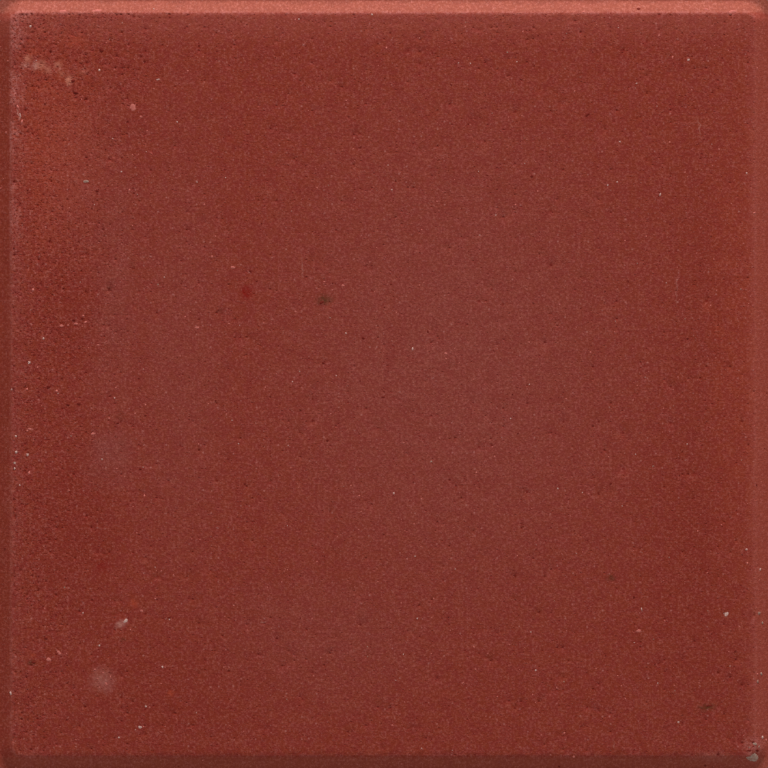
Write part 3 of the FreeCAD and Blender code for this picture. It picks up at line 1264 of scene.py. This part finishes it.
    def lay_out_map(self, mesh: bpy.types.Mesh) -> None:
        """Lays the tile out flat for baking: the face large, the sides beside it, the bed small.

        Args:
            mesh: The tile's mesh, which gets the map.
        """
        sizes = self.sizes
        face_share, strip_share, margin = 0.70, 0.12, 0.01
        points = np.empty(len(mesh.vertices) * 3)
        mesh.vertices.foreach_get("co", points)
        points = points.reshape(-1, 3)
        corner_vertex = np.empty(len(mesh.loops), dtype=np.int32)
        mesh.loops.foreach_get("vertex_index", corner_vertex)
        middles = np.empty(len(mesh.polygons) * 3)
        mesh.polygons.foreach_get("center", middles)
        middles = middles.reshape(-1, 3)
        face_of_corner = np.repeat(
            np.arange(len(mesh.polygons)), [polygon.loop_total for polygon in mesh.polygons]
        )
        x, y, z = points[corner_vertex].T
        middle_x, middle_y, middle_z = middles[face_of_corner].T
        along_x, along_y = x / sizes.side + 0.5, y / sizes.side + 0.5
        up = z / sizes.thickness

        across = np.abs(middle_x) > np.abs(middle_y)
        inward = sizes.half - np.maximum(np.abs(middle_x), np.abs(middle_y))
        below_ledge = sizes.thickness - middle_z - sizes.chamfer_depth
        on_top = (middle_z > sizes.thickness / 2) & (inward > below_ledge)
        on_bed = (middle_z < sizes.thickness / 2) & (inward > middle_z)
        sides = [
            (~across & (middle_y < 0), along_x, 0),
            (~across & (middle_y >= 0), along_x, 1),
            (across & (middle_x < 0), along_y, 0),
            (across & (middle_x >= 0), along_y, 1),
        ]
        u = np.zeros_like(x)
        v = np.zeros_like(x)
        for number, (where, along, row) in enumerate(sides):
            start = face_share + 2 * margin + row * (strip_share + margin)
            long_way, short_way = margin + along * face_share, start + up * strip_share
            upright = number >= 2
            u[where] = (short_way if upright else long_way)[where]
            v[where] = (long_way if upright else short_way)[where]
        u[on_top] = (margin + along_x * face_share)[on_top]
        v[on_top] = (margin + along_y * face_share)[on_top]
        bed_start = face_share + 2 * margin
        bed_share = 1.0 - bed_start - margin
        u[on_bed] = (bed_start + along_x * bed_share)[on_bed]
        v[on_bed] = (bed_start + along_y * bed_share)[on_bed]
        layer = mesh.uv_layers.new(name="OFBake")
        layer.data.foreach_set("uv", np.column_stack([u, v]).ravel())


# ---------------------------------------------------------------------------------------
# Stone that shows bare
# ---------------------------------------------------------------------------------------


@dataclass(frozen=True)
class Scatter:
    """Random grains over one surface: how many, and their smallest and largest width in metres."""

    count: int
    smallest: float
    largest: float


# Random grains of each stone on the face, on each side and on the bed: how many, and their
# smallest and largest width in millimetres.
GRAIN_SPREADS = {
    Stone.PALE: ((90, 0.35, 0.9), (30, 0.4, 1.3), (140, 0.4, 1.6)),
    Stone.SALMON: ((520, 0.35, 1.0), (110, 0.4, 1.8), (320, 0.5, 2.2)),
    Stone.GREY: ((36, 0.35, 0.8), (34, 0.4, 2.2), (160, 0.5, 2.8)),
    # The dark grains stand in for the shade in small pits: painted shade.
    Stone.DARK: ((260, 0.40, 1.3), (60, 0.4, 1.6), (160, 0.5, 2.0)),
}


@dataclass
class StoneGrains:
    """Grains of one kind, bedded in the tile's own surface; the dark kind stands in for shade in pits, and
    some salmon grains for highlights on the top arris.
    """

    sizes: TileSizes
    tile: bpy.types.Object
    stone: Stone
    on_face: Scatter
    on_sides: Scatter
    on_bed: Scatter
    seed: int
    stand_out: float = 0.15 * MM
    shown_share: float = 0.75
    flatness: float = 0.50
    thickest: float = 0.40 * MM
    large: float = 1.6 * MM
    unevenness: float = 0.32 * MM
    dullness: float = 0.65
    smear_size: float = 0.9 * MM

    def build(self) -> bpy.types.Object:
        """Beds the grains into the tile.

        Returns:
            The grains as one plain piece.
        """
        surface = BVHTree.FromPolygons(
            [vertex.co for vertex in self.tile.data.vertices],
            [polygon.vertices for polygon in self.tile.data.polygons],
        )
        draw = np.random.default_rng(self.seed)
        beds = [self.bedded(surface, *grain) for grain in self.placed() + self.scattered(draw)]
        beds = [bed for bed in beds if bed is not None]
        points = bpy.data.meshes.new("grain places")
        points.from_pydata([bed[0] for bed in beds], [], [])
        for number, title in enumerate(("turn", "extent"), start=1):
            layer = points.attributes.new(title, "FLOAT_VECTOR", "POINT")
            layer.data.foreach_set("vector", [part for bed in beds for part in bed[number]])
        name, colour, smeared = self.stone.value
        values = {"Unevenness": self.unevenness, "Material": self.material(name, colour, smeared)}
        piece = grown(self.grain_tree(), name, points, values)
        log.info("%s: %d grains", name, len(beds))
        return piece

    def placed(self) -> list[tuple]:
        """The grains that have a place of their own on the face.

        Returns:
            Each grain's start, direction, width, length and turn.
        """
        high = self.sizes.thickness + 10 * MM
        return [
            (
                Vector((bead.x * MM, bead.y * MM, high)),
                -UP,
                bead.wide * MM,
                (bead.high or bead.wide) * MM,
                math.radians(bead.turn),
            )
            for bead in FACE_BEADS[self.stone]
        ]

    def scattered(self, draw: np.random.Generator) -> list[tuple]:
        """The random grains of the face, the sides and the bed.

        Args:
            draw: The random numbers.

        Returns:
            The same for each grain as placed gives.
        """
        half, thickness = self.sizes.half, self.sizes.thickness
        looks = [
            (self.on_face, -UP, thickness + 10 * MM),
            (self.on_bed, UP, -10 * MM),
        ]
        grains = []
        for scatter, towards, height in looks:
            for x, y in draw.uniform(-0.995 * half, 0.995 * half, (scatter.count, 2)):
                grains.append((Vector((x, y, height)), towards, *self.drawn_size(draw, scatter)))
        for side in range(4):
            facing = Quaternion(UP, side * math.pi / 2)
            for along, height in draw.uniform((-0.99, 0.02), (0.99, 0.90), (self.on_sides.count, 2)):
                start = facing @ Vector((half + 10 * MM, along * half, height * thickness))
                towards = facing @ Vector((-1.0, 0.0, 0.0))
                grains.append((start, towards, *self.drawn_size(draw, self.on_sides)))
        return grains

    def drawn_size(self, draw: np.random.Generator, scatter: Scatter) -> tuple[float, float, float]:
        """A random width, length and turn, with small grains the commonest."""
        wide = scatter.smallest + (scatter.largest - scatter.smallest) * draw.uniform() ** 3
        return wide, wide * draw.uniform(0.65, 1.3), draw.uniform(0.0, math.tau)

    def bedded(
        self, surface: BVHTree, start: Vector, towards: Vector, wide: float, high: float, turn: float
    ) -> tuple | None:
        """Lays one grain into the surface.

        Args:
            surface: The tile's surface.
            start: A point outside the tile.
            towards: The direction from there into the tile.
            wide: The width that shows.
            high: The length that shows.
            turn: Its turn in the surface.

        Returns:
            Its middle, its turn as three angles and its half sizes, or None off the tile.
        """
        place, normal, _, _ = surface.ray_cast(start, towards)
        if place is None:
            return None
        facing = (normal * 0.5 - towards).normalized()
        wide, high = wide / self.shown_share, high / self.shown_share
        deep = min(self.flatness * min(wide, high) / 2, self.thickest)
        middle = place - facing * (deep - min(self.stand_out, 0.5 * deep))
        reach = max(wide, high) / 2
        most_out = self.sizes.half - 0.2 * reach
        limit = Vector((most_out, most_out, self.sizes.thickness - deep))
        middle = Vector([max(-most, min(most, part)) for part, most in zip(middle, limit)])
        middle.z = max(middle.z, deep)
        rotation = UP.rotation_difference(facing) @ Quaternion(UP, turn)
        return middle, rotation.to_euler(), (wide / 2, high / 2, deep)

    def grain_tree(self) -> bpy.types.NodeTree:
        """The geometry tree that puts an uneven grain on each place.

        Returns:
            The tree.
        """
        graph, given = new_tree(
            "Stone grains",
            "GeometryNodeTree",
            [
                ("Geometry", "NodeSocketGeometry", None),
                ("Unevenness", "NodeSocketFloat", 0.0003),
                ("Material", "NodeSocketMaterial", None),
            ],
            [("Geometry", "NodeSocketGeometry")],
        )
        kind, data_type = "GeometryNodeInputNamedAttribute", "FLOAT_VECTOR"
        turn, extent = (
            graph.node(kind, {"Name": title}, data_type=data_type).outputs[0]
            for title in ("turn", "extent")
        )
        half_wide, _, _ = graph.parts(extent)
        is_large = graph.math("GREATER_THAN", half_wide, self.large / 2)
        shaped = []
        for facets, selection in ((3, is_large), (1, graph.math("SUBTRACT", 1.0, is_large))):
            inputs = {"Radius": 1.0, "Subdivisions": facets}
            ball = graph.node("GeometryNodeMeshIcoSphere", inputs).outputs[0]
            inputs = {
                "Points": given["Geometry"],
                "Selection": selection,
                "Instance": ball,
                "Rotation": turn,
                "Scale": extent,
            }
            shaped.append(graph.node("GeometryNodeInstanceOnPoints", inputs).outputs[0])
        together = graph.node("GeometryNodeJoinGeometry")
        for part in shaped:
            graph.feed(together.inputs[0], part)
        real = graph.node("GeometryNodeRealizeInstances", {0: together.outputs[0]}).outputs[0]
        place = graph.node("GeometryNodeInputPosition").outputs[0]
        shifted = graph.wobbled(place, 1.1 * MM, given["Unevenness"])
        half, thickness = self.sizes.half, self.sizes.thickness
        shifted = graph.vector("MINIMUM", shifted, (half, half, thickness))
        shifted = graph.vector("MAXIMUM", shifted, (-half, -half, 0.0))
        uneven = graph.node("GeometryNodeSetPosition", {"Geometry": real, "Position": shifted}).outputs[0]
        smooth = graph.node("GeometryNodeSetShadeSmooth", {"Geometry": uneven}).outputs[0]
        dressed = graph.node("GeometryNodeSetMaterial", {"Geometry": smooth, "Material": given["Material"]})
        graph.node("NodeGroupOutput", {0: dressed.outputs[0]})
        return graph.tree

    def material(self, name: str, colour: tuple, smeared: float) -> bpy.types.Material:
        """Bare stone with red paste smeared over part of it.

        Args:
            name: The material's name.
            colour: The stone's colour.
            smeared: The share of the paste over it.

        Returns:
            The material.
        """
        material, graph, shader = new_material(name.replace("_", " "))
        place = graph.node("ShaderNodeTexCoord").outputs["Object"]
        patchy = graph.noise(place, self.smear_size, 2.0, 0.7)
        smear = graph.ramp(patchy, 0.35, 0.65, 0.4 * smeared, 1.6 * smeared)
        graph.feed(shader.inputs["Base Color"], graph.tinted(smear, colour, RedConcrete.paste))
        shader.inputs["Roughness"].default_value = self.dullness
        shader.inputs["Specular IOR Level"].default_value = DRY_GLOSS
        return material


# ---------------------------------------------------------------------------------------
# Studio
# ---------------------------------------------------------------------------------------


@dataclass(frozen=True)
class Studio:
    """A pale floor, one low soft lamp beyond the top edge, even room light, and the camera."""

    sizes: TileSizes
    shown_width: float = 296.4 * MM
    centre: tuple = (0.19 * MM, 0.19 * MM)
    lens: float = 250.0
    sensor: float = 36.0
    lamp_place: tuple = (0.24, 2.48, 0.75)
    lamp_size: float = 0.9
    lamp_power: float = 98.0
    room_level: float = 0.50
    horizon_level: float = 0.95
    horizon_height: float = 0.6
    backdrop_level: float = 0.85
    floor_side: float = 12.0
    floor_colour: tuple = (0.80, 0.79, 0.77, 1.0)

    def build(self) -> None:
        """Makes the floor, the lights and the camera."""
        self.floor()
        self.lamp()
        self.room()
        self.camera()
        bpy.context.scene.view_settings.view_transform = "Standard"

    def floor(self) -> None:
        """A large plain floor under the tile."""
        half = self.floor_side / 2
        mesh = bpy.data.meshes.new("floor")
        corners = [(-half, -half, 0), (half, -half, 0), (half, half, 0), (-half, half, 0)]
        mesh.from_pydata(corners, [], [(0, 1, 2, 3)])
        floor = bpy.data.objects.new("floor", mesh)
        bpy.context.scene.collection.objects.link(floor)
        material, _, shader = new_material("floor")
        shader.inputs["Base Color"].default_value = self.floor_colour
        shader.inputs["Roughness"].default_value = 0.9
        mesh.materials.append(material)

    def lamp(self) -> None:
        """The low soft lamp."""
        light = bpy.data.lights.new("lamp", "AREA")
        light.energy = self.lamp_power
        light.size = self.lamp_size
        lamp = bpy.data.objects.new("lamp", light)
        lamp.location = self.lamp_place
        lamp.rotation_euler = (-Vector(self.lamp_place)).to_track_quat("-Z", "Y").to_euler()
        lamp.visible_camera = False
        bpy.context.scene.collection.objects.link(lamp)

    def room(self) -> None:
        """Even light from all round."""
        world = bpy.data.worlds.new("room")
        world.use_nodes = True
        graph = Graph(world.node_tree)
        background = world.node_tree.nodes["Background"]
        seen = graph.node("ShaderNodeLightPath").outputs["Is Camera Ray"]
        _, _, up = graph.parts(graph.node("ShaderNodeTexCoord").outputs["Generated"])
        level = graph.ramp(up, 0.0, self.horizon_height, self.horizon_level, self.room_level)
        background.inputs["Color"].default_value = (1.0, 1.0, 1.0, 1.0)
        graph.feed(background.inputs["Strength"], graph.mixed(seen, level, self.backdrop_level))
        bpy.context.scene.world = world

    def camera(self) -> None:
        """The camera, straight above the tile."""
        data = bpy.data.cameras.new("camera")
        data.lens = self.lens
        data.sensor_width = self.sensor
        camera = bpy.data.objects.new("camera", data)
        distance = self.shown_width * self.lens / self.sensor
        camera.location = (*self.centre, self.sizes.ledge_height + distance)
        bpy.context.scene.collection.objects.link(camera)
        bpy.context.scene.camera = camera


# ---------------------------------------------------------------------------------------


def main() -> None:
    """Builds the tile and the studio, and hands each piece to the frame."""
    logging.basicConfig(level=logging.INFO, format="%(message)s")
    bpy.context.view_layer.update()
    sizes = TileSizes.from_frame()
    groups = ShaderGroups()

    concrete = RedConcrete(sizes)
    tile = PavingTile(sizes).build(concrete.pressed(groups), concrete.moulded(groups))
    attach(tile, "root")
    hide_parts(NODE)
    log.info("%s: %d faces", tile.name, len(tile.data.polygons))

    for seed, (stone, spreads) in enumerate(GRAIN_SPREADS.items(), start=1):
        scatters = [Scatter(count, low * MM, high * MM) for count, low, high in spreads]
        grains = StoneGrains(sizes, tile, stone, *scatters, seed).build()
        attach(grains, "root")

    Studio(sizes).build()


if __name__ == "__main__":
    main()
